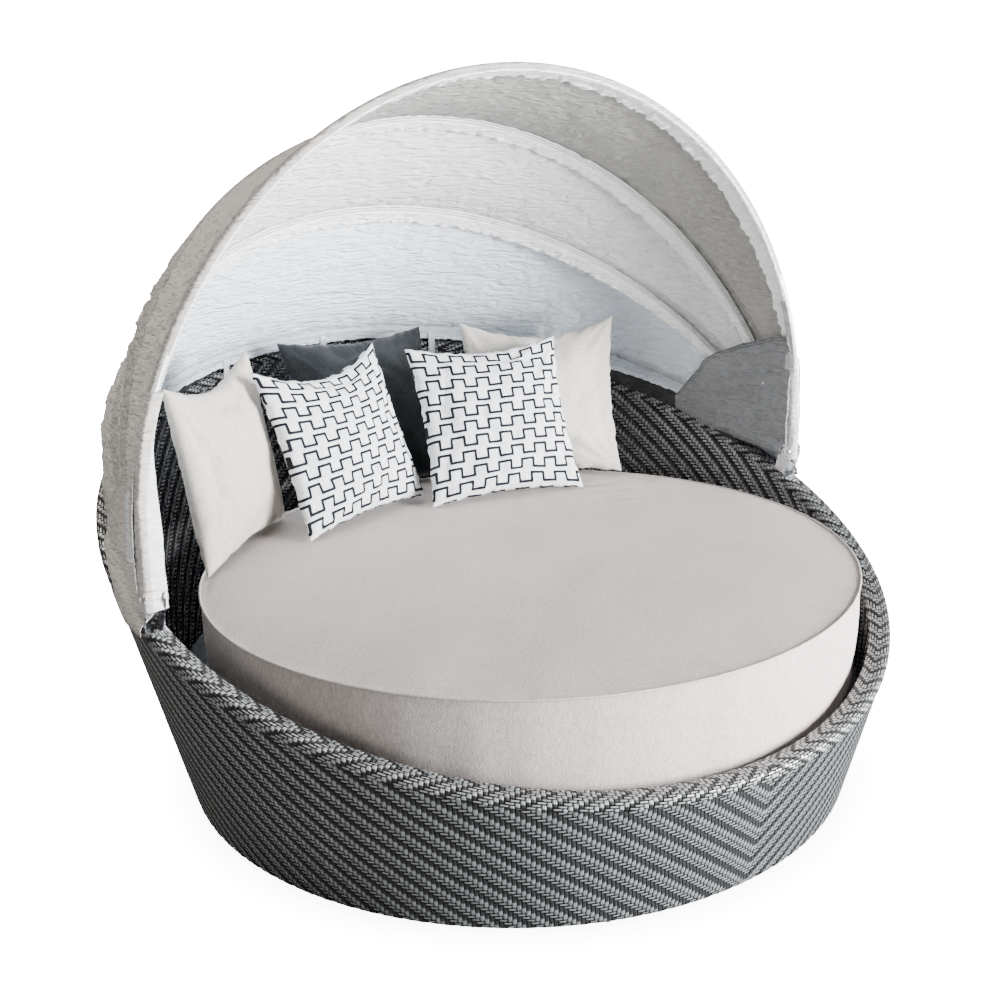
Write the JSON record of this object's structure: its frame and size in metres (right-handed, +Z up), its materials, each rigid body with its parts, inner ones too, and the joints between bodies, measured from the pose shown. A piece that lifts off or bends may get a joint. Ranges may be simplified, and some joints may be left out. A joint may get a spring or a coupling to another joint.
{
  "type": "outdoor daybed with canopy",
  "caption": "Round daybed in a flared wicker basket with a thick round mattress, back cushions and a canopy on bent bows that folds back.",
  "frame": {"origin": "on the floor at the basket's axis, at the underside of the centre leg's foot", "axes": "+Z up, -Y towards the low front of the basket, X along the canopy's pivot axis"},
  "size_m": [1.8062, 1.8051, 1.5628],
  "materials": {
    "wicker": "dark charcoal woven resin strand, satin gloss",
    "frame": "powder coated tube",
    "chrome": "polished",
    "plastic": "moulded black",
    "canvas": "light grey woven polyester canvas",
    "strap": "white woven webbing",
    "upholstery": "warm light grey outdoor weave",
    "pattern": "off-white heather weave with dark stepped lines"
  },
  "bodies": {
    "base": {"base_ring": "frame", "centre_leg": "frame", "cross_beam": "frame", "front_half_beam": "frame", "glide_1": "plastic", "glide_2": "plastic", "glide_3": "plastic", "glide_4": "plastic", "glide_5": "plastic", "glide_6": "plastic", "glide_7": "plastic", "glide_8": "plastic", "hem_bow": "frame", "hem_strap_1": "strap", "hem_strap_2": "strap", "hem_strap_3": "strap", "inner_wicker_wall": "wicker", "left_bolt": "chrome", "left_bracket": "chrome", "left_cushion": "upholstery", "left_front_screw": "chrome", "left_nut": "chrome", "left_patterned_cushion": "pattern", "left_rear_screw": "chrome", "left_spacer_1": "plastic", "left_spacer_2": "plastic", "left_spacer_3": "plastic", "mattress": "upholstery", "outer_wicker_wall": "wicker", "rear_cushion": "upholstery", "rear_half_beam": "frame", "rear_panel": "canvas", "right_bolt": "chrome", "right_bracket": "chrome", "right_cushion": "upholstery", "right_front_screw": "chrome", "right_nut": "chrome", "right_patterned_cushion": "pattern", "right_rear_screw": "chrome", "right_spacer_1": "plastic", "right_spacer_2": "plastic", "right_spacer_3": "plastic", "rim_ring": "frame", "rim_wrap": "wicker", "seat_deck": "frame", "seat_ring": "frame", "upright_1": "frame", "upright_2": "frame", "upright_3": "frame", "upright_4": "frame", "upright_5": "frame", "upright_6": "frame", "upright_7": "frame", "upright_8": "frame"},
    "third_bow": {"third_bow": "frame", "middle_panel": "canvas"},
    "second_bow": {"second_bow": "frame", "front_panel": "canvas"},
    "front_bow": {"front_bow": "frame"}
  },
  "joints": [
    {"name": "third_bow_hinge", "type": "hinge", "parent": "base", "child": "third_bow", "pos_m": [0, -0.03042, 0.58427], "axis": [-1, 0, 0], "range_deg": [0, 20.3], "deforming": ["rear_panel"]},
    {"name": "second_bow_hinge", "type": "hinge", "parent": "third_bow", "child": "second_bow", "pos_m": [0, -0.03042, 0.58427], "axis": [-1, 0, 0], "range_deg": [0, 15], "deforming": ["middle_panel"]},
    {"name": "front_bow_hinge", "type": "hinge", "parent": "second_bow", "child": "front_bow", "pos_m": [0, -0.03042, 0.58427], "axis": [-1, 0, 0], "range_deg": [0, 19.3], "deforming": ["front_panel"]}
  ]
}
